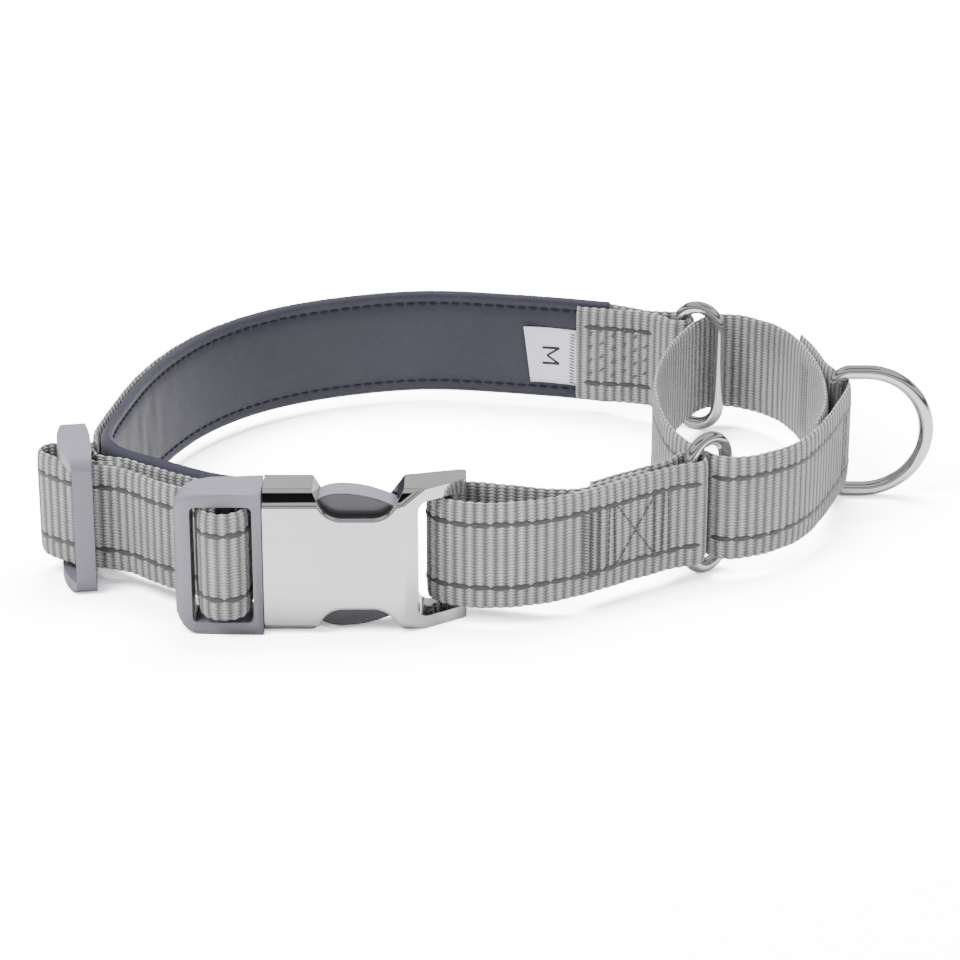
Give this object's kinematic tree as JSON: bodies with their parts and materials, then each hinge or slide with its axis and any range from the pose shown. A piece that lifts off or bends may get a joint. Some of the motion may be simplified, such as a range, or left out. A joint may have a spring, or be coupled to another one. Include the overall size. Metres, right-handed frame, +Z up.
{
  "type": "martingale dog collar",
  "caption": "Martingale dog collar standing on edge: padded webbing neck strap, side-release buckle, slider, and a control loop with a leash ring.",
  "frame": {"origin": "middle of the overall box, on the surface the collar stands on", "axes": "+X towards the leash ring, -Y towards the buckle side, +Z up, along the width of the webbing"},
  "size_m": [0.2108, 0.1524, 0.0345],
  "materials": {
    "webbing": "ribbed light grey nylon webbing",
    "webbing_thread": "dark grey reflective edge stitching",
    "light_thread": "light grey sewing thread",
    "lining_fabric": "smooth slate neoprene cover",
    "lining_foam": "closed-cell foam core",
    "seam_thread": "near-black sewing thread",
    "label": "woven white satin label",
    "plastic": "lavender grey moulded plastic, satin",
    "polished_metal": "polished plated metal"
  },
  "bodies": {
    "collar": {"neck_webbing": "webbing", "neck_edge_threads": "webbing_thread", "adjuster_webbing": "webbing", "lining_cover": "lining_fabric", "lining_foam": "lining_foam", "lining_seam_threads": "seam_thread", "size_label": "label", "back_fold_stitching": "light_thread", "buckle_female_shell": "polished_metal", "front_strap": "webbing", "front_edge_threads": "webbing_thread", "front_fold_stitching": "light_thread", "control_loop": "webbing", "loop_edge_threads": "webbing_thread"},
    "slider": {"slider_frame": "plastic", "adjuster_stitching": "light_thread"},
    "buckle_male": {"buckle_male_frame": "plastic"},
    "upper_latch": {"upper_latch_arm": "plastic"},
    "lower_latch": {"lower_latch_arm": "plastic"},
    "front_ring": {"front_ring": "polished_metal"},
    "back_ring": {"back_ring": "polished_metal"},
    "loop_end": {"loop_stitching": "light_thread"},
    "leash_ring": {"d_ring": "polished_metal"}
  },
  "joints": [
    {"name": "back_ring_swing", "type": "hinge", "parent": "collar", "child": "back_ring", "pos_m": [0.04609, 0.05572, 0.0173], "axis": [0, 0, 1], "range_deg": [-18, 18]},
    {"name": "front_ring_swing", "type": "hinge", "parent": "collar", "child": "front_ring", "pos_m": [0.04318, -0.04185, 0.0173], "axis": [0, 0, 1], "range_deg": [-18, 18]},
    {"name": "control_loop_draw", "type": "slide", "parent": "collar", "child": "loop_end", "axis": [1, 0, 0], "range_m": [0, 0.008], "deforming": ["control_loop", "loop_edge_threads"]},
    {"name": "leash_ring_swing", "type": "hinge", "parent": "loop_end", "child": "leash_ring", "pos_m": [0.08127, 0.00835, 0.0173], "axis": [0, 0, 1], "range_deg": [-70, 70]},
    {"name": "slider_travel", "type": "slide", "parent": "collar", "child": "slider", "axis": [0.1771, -0.9842, 0], "range_m": [-0.005, 0.004], "deforming": ["adjuster_webbing"]},
    {"name": "buckle_release", "type": "slide", "parent": "collar", "child": "buckle_male", "axis": [-1, 0, 0], "range_m": [0, 0.03], "deforming": ["adjuster_webbing", "upper_latch_arm", "lower_latch_arm"]},
    {"name": "upper_latch_press", "type": "hinge", "parent": "buckle_male", "child": "upper_latch", "pos_m": [-0.04653, -0.06715, 0.028], "axis": [0, 1, 0], "range_deg": [0, 8], "stiffness_Nm_per_rad": 1.4},
    {"name": "lower_latch_press", "type": "hinge", "parent": "buckle_male", "child": "lower_latch", "pos_m": [-0.04653, -0.06715, 0.0054], "axis": [0, -1, 0], "range_deg": [0, 8], "stiffness_Nm_per_rad": 1.4}
  ]
}
